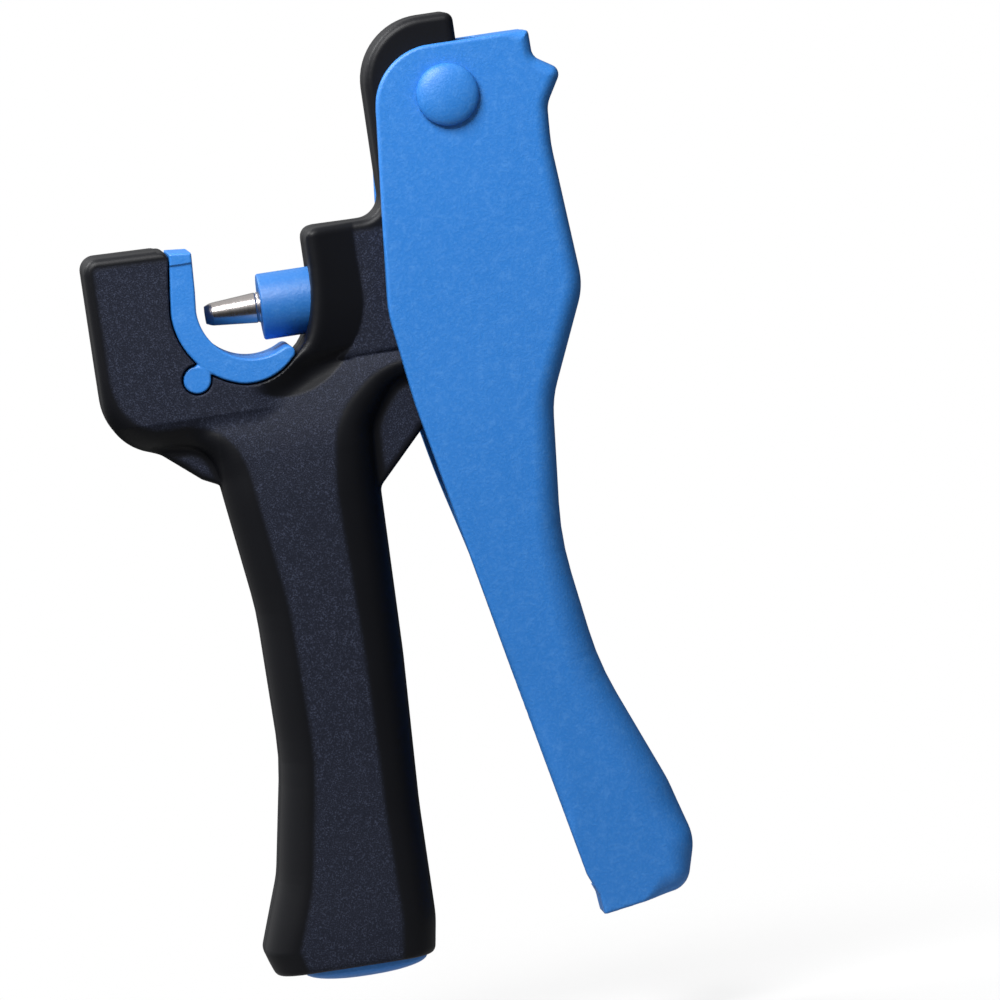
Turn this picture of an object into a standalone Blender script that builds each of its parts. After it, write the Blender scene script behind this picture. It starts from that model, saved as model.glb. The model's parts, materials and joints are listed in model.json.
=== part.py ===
"""Hole-punch pliers for drip-irrigation tube, squeezed shut.

A black two-shell body holds a U-shaped tube cradle opposite a sliding steel punch. A blue channel-shaped
lever turns on an axle at the top of the body's arm, and its inner cam pushes the punch's rod. A coil spring
brings both back. A blue cap closes the hollow handle.

Lengths are in millimetres, turned into metres by MM where a shape is made. The drawing frame has its zero
just above the lever's axle: x to the lever's side, z up the handle, y through the thickness, with the front
face towards -y.
"""

import math

import bmesh
import bpy
from mathutils import Matrix, Vector

MM = 0.001
GAP = 0.3
ROUND_SIDES = 32
ARC_STEP = math.radians(15)

# Where the drawing's zero stands in the world: the world's origin is under the middle of the whole tool, level
# with the end cap's lowest point.
DRAWING_X = 24.8
DRAWING_Z = 173.4

# Half thicknesses of the body, from its middle plane.
HEAD_HALF = 11.0
ARM_HALF = 8.0
WEB_HALF = 6.5

# Tube cradle: a J-shaped lining of the mouth.
MOUTH_X = -44.8
MOUTH_Z = -36.0
MOUTH_TOP = -23.0
JAW_TOP = -22.6
MOUTH_WALL_X = -32.2
MOUTH_CORNER_RADIUS = 2.2
CRADLE_INNER = 11.0
CRADLE_OUTER = 16.1
CRADLE_TIP_OUTER = 13.7
CRADLE_END_ANGLE = -61
CRADLE_TAPER_ANGLE = -105
# The leg above the arc leans towards the mouth: its outer and inner side, upwards.
CRADLE_LEG_OUTER = ((-60.5, -32.0), (-59.9, -27.0), (-59.5, -23.8))
CRADLE_LEG_INNER = ((-55.45, -32.0), (-55.2, -27.0), (-55.1, -24.2))
KEY_X = -57.6
KEY_Z = -49.5
KEY_RADIUS = 2.8

# Sliding punch, rod and spring on one axis.
SLIDE_Z = -37.5
PLUNGER_FRONT = -42.6
PLUNGER_BACK = -24.0
PLUNGER_RADIUS = 6.65
PLUNGER_STROKE = 13.6
PUNCH_TIP = -53.7
PUNCH_EDGE_RADIUS = 1.75
PUNCH_BASE_RADIUS = 3.05
PUNCH_SHANK_RADIUS = 2.5
PUNCH_SHANK_DEPTH = 11.0
PUNCH_HOLE_RADIUS = 1.2
PUNCH_HOLE_DEPTH = 5.0
ROD_RADIUS = 4.0
ROD_SPIGOT_RADIUS = 2.4
BUTTON_RADIUS = 6.5
BUTTON_FACE = 11.0
BUTTON_THICKNESS = 3.0
BODY_BACK = -4.0
WASHER_RADIUS = 6.3
WASHER_THICKNESS = 0.8
SPRING_COIL_RADIUS = 5.1
SPRING_WIRE_RADIUS = 0.55
SPRING_TURNS = 5.5

# Lever.
LEVER_OUTER_HALF = 11.2
LEVER_INNER_HALF = 8.5
CAM_X = 19.3
CAM_Z = -40.0
CAM_RADIUS = 8.0
RIB_HEIGHTS = (-78.0, -100.0, -122.0, -144.0)
RIB_THICKNESS = 2.0

# Axle and its caps.
AXLE_Z = -0.6
AXLE_RADIUS = 3.0
AXLE_HALF = 11.5
PIVOT_CAP_RADIUS = 6.3
PIVOT_CAP_HEIGHT = 2.6

# Screws that close the shells: every one sits at the same depth, however thick the body is there.
SCREW_PLACES = (
    (-69.0, -38.0),
    (-62.5, -57.0),
    (-27.0, -28.2),
    (-32.0, -59.0),
    (-39.5, -84.0),
    (-6.0, -15.0),
)
SCREW_RADIUS = 1.4
SCREW_HEAD_RADIUS = 2.8
SCREW_HEAD_TOP = 5.5
SCREW_HEAD_HEIGHT = 2.2
SCREW_TIP = -6.0

# Handle and its cap.
BUTT_Z = -170.4
HOLLOW_TOP = -94.0
CAP_X = -41.0
CAP_RIM_HALF_X = 12.4
CAP_RIM_HALF_Y = 10.8
CAP_RIM_TOP = -166.8
CAP_LOWEST = -173.4
CAP_PLUG_HALF_X = 9.2
CAP_PLUG_HALF_Y = 7.6
CAP_PLUG_TOP = -157.0

# Corners of the flat outlines: x, z and the radius of the corner's arc.
HEAD_OUTLINE = (
    (-76.9, JAW_TOP, 3.0),
    (-50.0, JAW_TOP, 0.0),
    (-50.0, MOUTH_TOP, 0.0),
    (-23.5, MOUTH_TOP, 0.0),
    (-23.5, -67.0, 0.0),
    (-56.5, -67.0, 0.0),
    (-60.0, -63.2, 3.0),
    (-76.9, -63.2, 11.6),
)
ARM_OUTLINE = (
    (-30.0, MOUTH_TOP - 0.1, 0.0),
    (-15.8, MOUTH_TOP - 0.1, 4.5),
    (-15.8, 15.5, 13.0),
    (3.6, 15.5, 1.5),
    (3.6, 7.0, 3.0),
    (7.0, 4.0, 3.0),
    (7.0, -8.0, 4.0),
    (BODY_BACK, -22.0, 4.0),
    (BODY_BACK, -51.0, 3.0),
    (-17.0, -57.0, 3.0),
    (-30.0, -66.0, 0.0),
)
RIGHT_WEB_OUTLINE = (
    (-30.0, -40.0, 0.0),
    (-6.0, -48.0, 0.0),
    (-6.0, -57.5, 2.0),
    (-25.0, -77.0, 0.0),
    (-30.0, -77.0, 0.0),
)
LEFT_WEB_OUTLINE = (
    (-66.0, -58.0, 0.0),
    (-67.5, -62.8, 1.0),
    (-59.4, -69.6, 2.0),
    (-52.0, -73.2, 0.0),
    (-50.0, -60.0, 0.0),
)
LEVER_OUTLINE = (
    (-13.4, 9.7, 12.3),
    (18.0, 9.7, 0.8),
    (18.1, 4.3, 2.6),
    (23.5, 0.9, 2.0),
    (19.7, -5.6, 6.0),
    (19.3, -13.5, 30.0),
    (21.6, -42.5, 14.0),
    (12.4, -64.0, 22.0),
    (10.0, -92.0, 60.0),
    (14.0, -118.0, 60.0),
    (24.4, -143.5, 25.0),
    (27.8, -155.6, 9.0),
    (24.9, -165.0, 5.0),
    (7.3, -167.8, 0.3),
    (6.9, -163.9, 2.0),
    (5.0, -159.4, 2.0),
    (-4.6, -113.5, 60.0),
    (-15.4, -60.5, 30.0),
    (-18.0, -42.0, 25.0),
    (-16.1, -20.0, 30.0),
)
# The lever's hollow between its cheeks, open to the body's side and over the arm.
CHANNEL_OUTLINE = (
    (-40.0, 20.0, 0.0),
    (8.3, 20.0, 0.0),
    (8.3, 7.0, 0.0),
    (15.2, 7.0, 2.0),
    (16.2, -13.5, 20.0),
    (18.6, -42.0, 14.0),
    (9.1, -64.5, 25.0),
    (6.7, -92.0, 60.0),
    (10.9, -118.5, 60.0),
    (22.6, -148.0, 12.0),
    (24.0, -156.0, 5.0),
    (21.5, -162.0, 3.0),
    (-40.0, -162.6, 0.0),
)

# Handle sections from top to bottom: height, left edge, right edge, half thickness.
HANDLE_SECTIONS = (
    (-56.0, -56.0, -22.0, 9.0),
    (-64.0, -58.4, -23.0, 11.6),
    (-71.0, -56.0, -23.6, 12.3),
    (-80.0, -53.7, -23.7, 12.5),
    (-100.0, -52.5, -24.3, 12.5),
    (-128.0, -52.4, -25.3, 12.5),
    (-142.0, -53.8, -25.8, 12.8),
    (-153.0, -56.5, -26.0, 13.2),
    (-163.5, -60.1, -26.0, 13.6),
    (-166.5, -60.4, -26.2, 13.5),
    (BUTT_Z, -59.4, -26.9, 13.0),
)
# Storage hollow inside the handle, from top to bottom.
HOLLOW_SECTIONS = (
    (HOLLOW_TOP, -47.0, -30.0, 8.5),
    (-140.0, -50.0, -32.5, 8.5),
    (-156.0, CAP_X - CAP_PLUG_HALF_X - GAP, CAP_X + CAP_PLUG_HALF_X + GAP, CAP_PLUG_HALF_Y + GAP),
    (-168.0, CAP_X - CAP_PLUG_HALF_X - GAP, CAP_X + CAP_PLUG_HALF_X + GAP, CAP_PLUG_HALF_Y + GAP),
)
RIM_RECESS_SECTIONS = (
    (CAP_RIM_TOP + GAP, CAP_X - CAP_RIM_HALF_X - GAP, CAP_X + CAP_RIM_HALF_X + GAP, CAP_RIM_HALF_Y + GAP),
    (BUTT_Z - 5.0, CAP_X - CAP_RIM_HALF_X - GAP, CAP_X + CAP_RIM_HALF_X + GAP, CAP_RIM_HALF_Y + GAP),
)

AXIS_Y = Matrix.Rotation(math.radians(-90), 4, "X")
AXIS_X = Matrix.Rotation(math.radians(90), 4, "Y")


def clear_scene():
    for old in list(bpy.data.objects):
        bpy.data.objects.remove(old, do_unlink=True)


def new_collection(name):
    collection = bpy.data.collections.new(name)
    bpy.context.scene.collection.children.link(collection)
    return collection


def principled(name, colour, roughness, metallic=0.0):
    material = bpy.data.materials.new(name)
    material.use_nodes = True
    shader = material.node_tree.nodes["Principled BSDF"]
    shader.inputs["Base Color"].default_value = (*colour, 1.0)
    shader.inputs["Roughness"].default_value = roughness
    shader.inputs["Metallic"].default_value = metallic
    return material


clear_scene()
PARTS = new_collection("tube_punch_pliers")
CUTTERS = new_collection("cutters")
BLACK = principled("black_plastic", (0.022, 0.023, 0.028), 0.55)
BLUE = principled("blue_plastic", (0.07, 0.28, 0.75), 0.45)
STEEL = principled("polished_steel", (0.70, 0.69, 0.67), 0.22, 1.0)
ZINC = principled("zinc_steel", (0.62, 0.62, 0.60), 0.38, 1.0)

FRAME = bpy.data.objects.new("drawing_frame", None)
FRAME.location = (DRAWING_X * MM, 0.0, DRAWING_Z * MM)
PARTS.objects.link(FRAME)


def add_object(name, mesh, material=None, placing=None):
    """A part with its material, or a cutter where there is none, placed in the drawing frame."""
    item = bpy.data.objects.new(name, mesh)
    item.parent = FRAME
    if placing is not None:
        item.matrix_local = placing
    if material is None:
        item.hide_render = True
        item.display_type = "WIRE"
        CUTTERS.objects.link(item)
    else:
        mesh.materials.append(material)
        PARTS.objects.link(item)
    return item


def mesh_from(name, shape):
    """A mesh from a bmesh, in metres, with its faces pointing out."""
    bmesh.ops.recalc_face_normals(shape, faces=shape.faces)
    mesh = bpy.data.meshes.new(name)
    shape.to_mesh(mesh)
    shape.free()
    return mesh


def boolean(target, operation, others):
    for other in others:
        modifier = target.modifiers.new(other.name, "BOOLEAN")
        modifier.operation = operation
        modifier.object = other


def arc(centre, radius, start, end, steps):
    """Points on a circle, from one angle in degrees to another."""
    points = []
    for step in range(steps + 1):
        angle = math.radians(start + (end - start) * step / steps)
        points.append((centre[0] + radius * math.cos(angle), centre[1] + radius * math.sin(angle)))
    return points


def rounded(corners):
    """The outline through the corners, each one replaced by an arc of its radius."""
    points = []
    count = len(corners)
    for index, (x, z, radius) in enumerate(corners):
        here = Vector((x, z))
        before = (Vector(corners[index - 1][:2]) - here).normalized()
        after = (Vector(corners[(index + 1) % count][:2]) - here).normalized()
        half_angle = before.angle(after) / 2
        if radius == 0 or half_angle > math.radians(89.9):
            points.append((x, z))
            continue
        centre = here + (before + after).normalized() * radius / math.sin(half_angle)
        first = here + before * radius / math.tan(half_angle) - centre
        last = here + after * radius / math.tan(half_angle) - centre
        turn = first.angle_signed(last)
        steps = max(2, math.ceil(abs(turn) / ARC_STEP))
        for step in range(steps + 1):
            spoke = Matrix.Rotation(-turn * step / steps, 2) @ first
            points.append(tuple(centre + spoke))
    return points


def slab(name, points, half_depth, material=None):
    """A flat outline in the x-z plane, as thick as half_depth on each side of the middle plane."""
    curve = bpy.data.curves.new(name, "CURVE")
    curve.dimensions = "2D"
    curve.fill_mode = "BOTH"
    curve.extrude = half_depth * MM
    spline = curve.splines.new("POLY")
    spline.points.add(len(points) - 1)
    for point, (x, z) in zip(spline.points, points):
        point.co = (x * MM, z * MM, 0.0, 1.0)
    spline.use_cyclic_u = True
    drawn = bpy.data.objects.new(name, curve)
    bpy.context.scene.collection.objects.link(drawn)
    bpy.context.view_layer.update()
    mesh = bpy.data.meshes.new_from_object(drawn.evaluated_get(bpy.context.evaluated_depsgraph_get()))
    bpy.data.objects.remove(drawn)
    shape = bmesh.new()
    shape.from_mesh(mesh)
    bmesh.ops.remove_doubles(shape, verts=shape.verts, dist=1e-6)
    bmesh.ops.transform(shape, matrix=Matrix.Rotation(math.radians(90), 4, "X"), verts=shape.verts)
    return add_object(name, mesh_from(name, shape), material)


def oval_ring(height, left, right, half, power):
    """Points of a squared-off ellipse between two edges."""
    points = []
    for side in range(ROUND_SIDES):
        angle = 2 * math.pi * side / ROUND_SIDES
        across = math.copysign(abs(math.cos(angle)) ** (2 / power), math.cos(angle))
        through = math.copysign(abs(math.sin(angle)) ** (2 / power), math.sin(angle))
        points.append(((left + right) / 2 + across * (right - left) / 2, through * half, height))
    return points


def loft(name, rings, material=None):
    """A closed skin over rings of equally many points, with a flat face on the first and the last."""
    shape = bmesh.new()
    loops = [[shape.verts.new(Vector(point) * MM) for point in ring] for ring in rings]
    for upper, lower in zip(loops, loops[1:]):
        for side in range(len(upper)):
            after = (side + 1) % len(upper)
            shape.faces.new((upper[side], upper[after], lower[after], lower[side]))
    shape.faces.new(loops[0])
    shape.faces.new(loops[-1])
    return add_object(name, mesh_from(name, shape), material)


def oval_loft(name, sections, power, material=None):
    return loft(name, [oval_ring(*section, power) for section in sections], material)


def cylinder(name, radius, start, end, placing):
    """A round cutter along its own z axis, from one height to another."""
    shape = bmesh.new()
    bmesh.ops.create_cone(
        shape,
        cap_ends=True,
        segments=ROUND_SIDES,
        radius1=radius * MM,
        radius2=radius * MM,
        depth=(end - start) * MM,
        matrix=Matrix.Translation((0.0, 0.0, (start + end) / 2 * MM)),
    )
    return add_object(name, mesh_from(name, shape), None, placing)


def box(name, low, high):
    """A rectangular cutter between two corners."""
    shape = bmesh.new()
    bmesh.ops.create_cube(shape, size=1.0)
    size = [(top - bottom) * MM for bottom, top in zip(low, high)]
    middle = [(top + bottom) / 2 * MM for bottom, top in zip(low, high)]
    bmesh.ops.transform(
        shape,
        matrix=Matrix.Translation(middle) @ Matrix.Diagonal((*size, 1.0)),
        verts=shape.verts,
    )
    return add_object(name, mesh_from(name, shape))


def turned(name, profile, material, placing, sides=ROUND_SIDES):
    """A profile of radius and height pairs, from the top down, turned about its own z axis."""
    mesh = bpy.data.meshes.new(name)
    points = [(radius * MM, 0.0, height * MM) for radius, height in profile]
    mesh.from_pydata(points, [(index, index + 1) for index in range(len(points) - 1)], [])
    item = add_object(name, mesh, material, placing)
    screw = item.modifiers.new("turn", "SCREW")
    screw.axis = "Z"
    screw.steps = sides
    screw.render_steps = sides
    screw.use_merge_vertices = True
    screw.merge_threshold = 1e-6
    return item


def along_x(x=0.0, z=SLIDE_Z):
    """The own z axis of a turned part laid along +x, its zero at x."""
    return Matrix.Translation((x * MM, 0.0, z * MM)) @ AXIS_X


def along_y(x, z):
    """The own z axis of a turned part laid along +y, through one point of the drawing."""
    return Matrix.Translation((x * MM, 0.0, z * MM)) @ AXIS_Y


def cradle_back(gap):
    """The cradle's outer surface, from the top of its leg round to its tip, moved out by a gap."""
    centre = (MOUTH_X, MOUTH_Z)
    points = [(x - gap, z) for x, z in reversed(CRADLE_LEG_OUTER)]
    points += arc(centre, CRADLE_OUTER + gap, 180, 360 + CRADLE_TAPER_ANGLE, 10)
    steps = 6
    for step in range(1, steps + 1):
        share = step / steps
        radius = CRADLE_OUTER + (CRADLE_TIP_OUTER - CRADLE_OUTER) * share**1.5 + gap
        angle = math.radians(CRADLE_TAPER_ANGLE + (CRADLE_END_ANGLE - CRADLE_TAPER_ANGLE) * share)
        points.append((centre[0] + radius * math.cos(angle), centre[1] + radius * math.sin(angle)))
    return points


def cradle_tip():
    """The round end of the cradle's thin lip."""
    angle = math.radians(CRADLE_END_ANGLE)
    middle = (CRADLE_TIP_OUTER + CRADLE_INNER) / 2
    centre = (MOUTH_X + middle * math.cos(angle), MOUTH_Z + middle * math.sin(angle))
    return arc(centre, (CRADLE_TIP_OUTER - CRADLE_INNER) / 2, CRADLE_END_ANGLE, CRADLE_END_ANGLE + 180, 4)


def make_cradle():
    inner = arc((MOUTH_X, MOUTH_Z), CRADLE_INNER, CRADLE_END_ANGLE, -180, 16)
    outline = cradle_back(0.0) + cradle_tip()[1:-1] + inner + list(CRADLE_LEG_INNER)
    cradle = slab("pipe_cradle", outline, HEAD_HALF - 0.2, BLUE)
    key = cylinder("cradle_key", KEY_RADIUS, 0.2 - HEAD_HALF, HEAD_HALF - 0.2, along_y(KEY_X, KEY_Z))
    boolean(cradle, "UNION", [key])


def body_cutters():
    """Every hole and hollow that both shells share."""
    seat_x = CRADLE_LEG_OUTER[-1][0] - GAP
    corner = MOUTH_CORNER_RADIUS
    jaw_corner = arc((seat_x - corner, JAW_TOP - corner), corner, 90, 0, 4)
    wall = [(-36.0, -46.1), (-34.4, -43.5), (-33.3, -40.0), (-32.5, -35.5), (MOUTH_WALL_X, -31.0)]
    wall_corner = arc((MOUTH_WALL_X + corner, MOUTH_TOP - corner), corner, 180, 90, 4)
    above = [(MOUTH_WALL_X + corner, 10.0), (seat_x - corner, 10.0)]
    cutters = [
        slab("mouth", jaw_corner + cradle_back(GAP)[1:] + wall + wall_corner + above, HEAD_HALF + 5),
        cylinder("key_socket", KEY_RADIUS + GAP, -HEAD_HALF - 5, HEAD_HALF + 5, along_y(KEY_X, KEY_Z)),
        cylinder("plunger_bore", PLUNGER_RADIUS + GAP, -40.0, PLUNGER_BACK + PLUNGER_STROKE + 1, along_x()),
        cylinder("rod_bore", ROD_RADIUS + GAP, -12.0, BODY_BACK + 5, along_x()),
        cylinder("axle_bore", AXLE_RADIUS + GAP, -ARM_HALF - 5, ARM_HALF + 5, along_y(0.0, AXLE_Z)),
        oval_loft("hollow", HOLLOW_SECTIONS, 2.6),
        oval_loft("rim_recess", RIM_RECESS_SECTIONS, 2.4),
        box("upper_pocket", (-74.0, -8.0, -33.5), (-64.5, 8.0, -26.0)),
        box("lower_pocket", (-74.0, -8.0, -53.0), (-65.5, 8.0, -42.5)),
    ]
    for number, (x, z) in enumerate(SCREW_PLACES, 1):
        seat = SCREW_HEAD_TOP - SCREW_HEAD_HEIGHT - GAP
        place = along_y(x, z)
        cutters.append(cylinder(f"screw_well_{number}", SCREW_HEAD_RADIUS + GAP, seat, 20.0, place))
        cutters.append(cylinder(f"screw_hole_{number}", SCREW_RADIUS + GAP, SCREW_TIP - GAP, seat + 1, place))
    return cutters


def make_shells():
    additions = [
        slab("arm_solid", rounded(ARM_OUTLINE), ARM_HALF),
        slab("right_web_solid", rounded(RIGHT_WEB_OUTLINE), WEB_HALF),
        slab("left_web_solid", rounded(LEFT_WEB_OUTLINE), WEB_HALF),
        oval_loft("handle_solid", HANDLE_SECTIONS, 2.8),
    ]
    cutters = body_cutters()
    reach = 250.0
    halves = {
        "front_shell": box("front_half", (-reach, -reach, -reach), (reach, -GAP / 2, reach)),
        "rear_shell": box("rear_half", (-reach, GAP / 2, -reach), (reach, reach, reach)),
    }
    for name, half in halves.items():
        shell = slab(name, rounded(HEAD_OUTLINE), HEAD_HALF, BLACK)
        boolean(shell, "UNION", additions)
        boolean(shell, "DIFFERENCE", cutters)
        boolean(shell, "INTERSECT", [half])


def make_screws():
    for number, (x, z) in enumerate(SCREW_PLACES, 1):
        seat = SCREW_HEAD_TOP - SCREW_HEAD_HEIGHT
        profile = [
            (0.0, SCREW_HEAD_TOP - 1.0),
            (1.1, SCREW_HEAD_TOP - 1.0),
            (1.1, SCREW_HEAD_TOP),
            (SCREW_HEAD_RADIUS - 0.6, SCREW_HEAD_TOP),
            (SCREW_HEAD_RADIUS, SCREW_HEAD_TOP - 0.6),
            (SCREW_HEAD_RADIUS, seat),
            (SCREW_RADIUS, seat),
            (SCREW_RADIUS, SCREW_TIP + 1.2),
            (0.0, SCREW_TIP),
        ]
        turned(f"shell_screw_{number}", profile, ZINC, along_y(x, z), sides=16)


def make_plunger_set():
    """The blue plunger, its steel punch, the rod behind it and the button that the lever pushes."""
    socket = PLUNGER_FRONT + PUNCH_SHANK_DEPTH + GAP
    spigot = PLUNGER_BACK - 7.0
    plunger = [
        (0.0, PLUNGER_BACK - 7.0 - GAP),
        (ROD_SPIGOT_RADIUS + GAP, PLUNGER_BACK - 7.0 - GAP),
        (ROD_SPIGOT_RADIUS + GAP, PLUNGER_BACK),
        (PLUNGER_RADIUS, PLUNGER_BACK),
        (PLUNGER_RADIUS, PLUNGER_FRONT + 0.4),
        (PLUNGER_RADIUS - 0.4, PLUNGER_FRONT),
        (PUNCH_SHANK_RADIUS + GAP, PLUNGER_FRONT),
        (PUNCH_SHANK_RADIUS + GAP, socket - 1.5),
        (0.0, socket - 1.5),
    ]
    punch = [
        (0.0, socket - 1.5 - GAP),
        (PUNCH_SHANK_RADIUS, socket - 1.5 - GAP),
        (PUNCH_SHANK_RADIUS, PLUNGER_FRONT - GAP),
        (PUNCH_BASE_RADIUS, PLUNGER_FRONT - GAP),
        (PUNCH_EDGE_RADIUS + 0.55, PUNCH_TIP + 1.5),
        (PUNCH_EDGE_RADIUS, PUNCH_TIP),
        (PUNCH_HOLE_RADIUS, PUNCH_TIP),
        (PUNCH_HOLE_RADIUS, PUNCH_TIP + PUNCH_HOLE_DEPTH),
        (0.0, PUNCH_TIP + PUNCH_HOLE_DEPTH + 0.6),
    ]
    button_back = BUTTON_FACE - BUTTON_THICKNESS
    rod = [
        (0.0, button_back + 1.6),
        (ROD_SPIGOT_RADIUS, button_back + 1.6),
        (ROD_SPIGOT_RADIUS, button_back - GAP),
        (ROD_RADIUS, button_back - GAP),
        (ROD_RADIUS, PLUNGER_BACK + GAP),
        (ROD_SPIGOT_RADIUS, PLUNGER_BACK + GAP),
        (ROD_SPIGOT_RADIUS, spigot),
        (0.0, spigot),
    ]
    button = [
        (0.0, BUTTON_FACE),
        (BUTTON_RADIUS - 1.6, BUTTON_FACE),
        (BUTTON_RADIUS, BUTTON_FACE - 1.2),
        (BUTTON_RADIUS, button_back),
        (ROD_SPIGOT_RADIUS + GAP, button_back),
        (ROD_SPIGOT_RADIUS + GAP, button_back + 1.9),
        (0.0, button_back + 1.9),
    ]
    turned("plunger", plunger, BLUE, along_x())
    turned("punch", punch, STEEL, along_x())
    turned("push_rod", rod, ZINC, along_x())
    turned("thrust_button", button, BLACK, along_x())


def make_spring():
    """A washer on the body's back wall and a coil spring from it to the button."""
    washer_front = BODY_BACK + GAP
    washer_back = washer_front + WASHER_THICKNESS
    washer = [
        (ROD_RADIUS + GAP, washer_back),
        (WASHER_RADIUS, washer_back),
        (WASHER_RADIUS, washer_front),
        (ROD_RADIUS + GAP, washer_front),
        (ROD_RADIUS + GAP, washer_back),
    ]
    turned("spring_washer", washer, ZINC, along_x())

    start = washer_back + GAP + SPRING_WIRE_RADIUS
    end = BUTTON_FACE - BUTTON_THICKNESS - GAP - SPRING_WIRE_RADIUS
    points_per_turn = 20
    count = round(SPRING_TURNS * points_per_turn)
    curve = bpy.data.curves.new("return_spring", "CURVE")
    curve.dimensions = "3D"
    curve.bevel_depth = SPRING_WIRE_RADIUS * MM
    curve.bevel_resolution = 2
    curve.use_fill_caps = True
    spline = curve.splines.new("POLY")
    spline.points.add(count)
    for index, point in enumerate(spline.points):
        angle = 2 * math.pi * index / points_per_turn
        across = SPRING_COIL_RADIUS * math.cos(angle)
        up = SLIDE_Z + SPRING_COIL_RADIUS * math.sin(angle)
        point.co = ((start + (end - start) * index / count) * MM, across * MM, up * MM, 1.0)
    spring = bpy.data.objects.new("return_spring", curve)
    spring.parent = FRAME
    curve.materials.append(STEEL)
    PARTS.objects.link(spring)


def make_lever():
    lever = slab("lever", rounded(LEVER_OUTLINE), LEVER_OUTER_HALF, BLUE)
    channel = slab("channel", rounded(CHANNEL_OUTLINE), LEVER_INNER_HALF)
    kept = [cylinder("cam", CAM_RADIUS, -20.0, 20.0, along_y(CAM_X, CAM_Z))]
    for number, height in enumerate(RIB_HEIGHTS, 1):
        spine = 2.0 + max(0.0, -100.0 - height) * 0.25
        kept.append(
            box(
                f"rib_{number}",
                (spine - 3.0, -20.0, height - RIB_THICKNESS / 2),
                (40.0, 20.0, height + RIB_THICKNESS / 2),
            )
        )
    boolean(channel, "DIFFERENCE", kept)
    reach = LEVER_OUTER_HALF + 5
    bore = cylinder("lever_bore", AXLE_RADIUS + GAP, -reach, reach, along_y(0.0, AXLE_Z))
    boolean(lever, "DIFFERENCE", [channel, bore])


def make_axle():
    ends = [(0.0, AXLE_HALF), (AXLE_RADIUS, AXLE_HALF), (AXLE_RADIUS, -AXLE_HALF), (0.0, -AXLE_HALF)]
    turned("pivot_axle", ends, ZINC, along_y(0.0, AXLE_Z))
    base = LEVER_OUTER_HALF + GAP
    dome = []
    steps = 8
    for step in range(steps + 1):
        angle = math.radians(90) * (1 - step / steps)
        dome.append((PIVOT_CAP_RADIUS * math.cos(angle), base + PIVOT_CAP_HEIGHT * math.sin(angle)))
    socket = [
        (AXLE_RADIUS + GAP, base),
        (AXLE_RADIUS + GAP, AXLE_HALF + GAP),
        (0.0, AXLE_HALF + GAP),
    ]
    placings = {
        "pivot_cap_rear": along_y(0.0, AXLE_Z),
        "pivot_cap_front": along_y(0.0, AXLE_Z) @ Matrix.Rotation(math.pi, 4, "X"),
    }
    for name, placing in placings.items():
        turned(name, dome + socket, BLUE, placing)


def make_end_cap():
    rings = []
    for height, half_x, half_y in (
        (CAP_PLUG_TOP, CAP_PLUG_HALF_X - 1.0, CAP_PLUG_HALF_Y - 1.0),
        (CAP_PLUG_TOP - 1.5, CAP_PLUG_HALF_X, CAP_PLUG_HALF_Y),
        (CAP_RIM_TOP, CAP_PLUG_HALF_X, CAP_PLUG_HALF_Y),
        (CAP_RIM_TOP, CAP_RIM_HALF_X, CAP_RIM_HALF_Y),
        (BUTT_Z - 1.0, CAP_RIM_HALF_X, CAP_RIM_HALF_Y),
    ):
        rings.append(oval_ring(height, CAP_X - half_x, CAP_X + half_x, half_y, 2.4))
    dome_top = BUTT_Z - 1.0
    steps = 6
    for step in range(1, steps):
        angle = math.radians(90) * step / steps
        height = dome_top - (dome_top - CAP_LOWEST) * math.sin(angle)
        half_x = CAP_RIM_HALF_X * math.cos(angle)
        half_y = CAP_RIM_HALF_Y * math.cos(angle)
        rings.append(oval_ring(height, CAP_X - half_x, CAP_X + half_x, half_y, 2.4))
    rings.append(oval_ring(CAP_LOWEST, CAP_X - 1.5, CAP_X + 1.5, 1.2, 2.4))
    loft("end_cap", rings, BLUE)


make_shells()
make_screws()
make_cradle()
make_plunger_set()
make_spring()
make_lever()
make_axle()
make_end_cap()
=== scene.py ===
"""The looks of the tube-punch pliers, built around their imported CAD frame.

The moulded pieces are distance fields: a function gives how far a point lies outside the plastic, and a net
of quads is laid on its zero surface. Turned pieces are lathed. Lengths are in millimetres from the CAD
drawing's zero, just above the lever's axle: x towards the lever, z up the handle and y through the thickness,
with the front face towards -y.
"""

import json
import math

import bmesh
import bpy
import numpy as np
from mathutils import Matrix, Vector


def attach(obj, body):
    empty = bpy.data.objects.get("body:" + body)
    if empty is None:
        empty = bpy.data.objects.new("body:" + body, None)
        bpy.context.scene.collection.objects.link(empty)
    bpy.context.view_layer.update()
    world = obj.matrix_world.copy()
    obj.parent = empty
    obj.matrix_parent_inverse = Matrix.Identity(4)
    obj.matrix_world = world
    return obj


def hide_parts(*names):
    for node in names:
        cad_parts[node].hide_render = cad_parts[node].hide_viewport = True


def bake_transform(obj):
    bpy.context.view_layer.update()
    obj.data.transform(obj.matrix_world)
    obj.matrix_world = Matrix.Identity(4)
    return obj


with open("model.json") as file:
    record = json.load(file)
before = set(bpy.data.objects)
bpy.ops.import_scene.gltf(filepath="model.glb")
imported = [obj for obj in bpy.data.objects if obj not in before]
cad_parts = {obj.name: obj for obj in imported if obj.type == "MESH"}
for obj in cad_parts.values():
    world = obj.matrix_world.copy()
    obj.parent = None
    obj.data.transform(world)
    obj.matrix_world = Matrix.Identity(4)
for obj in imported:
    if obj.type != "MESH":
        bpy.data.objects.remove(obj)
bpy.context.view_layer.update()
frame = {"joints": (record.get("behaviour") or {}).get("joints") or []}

MM = 0.001
JOINTS = {joint["name"]: joint for joint in frame["joints"]}
AXLE_Z = -0.6
DRAWING_ZERO = Vector(JOINTS["lever_pivot"]["pos_m"]) - Vector((0, 0, AXLE_Z * MM))

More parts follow.
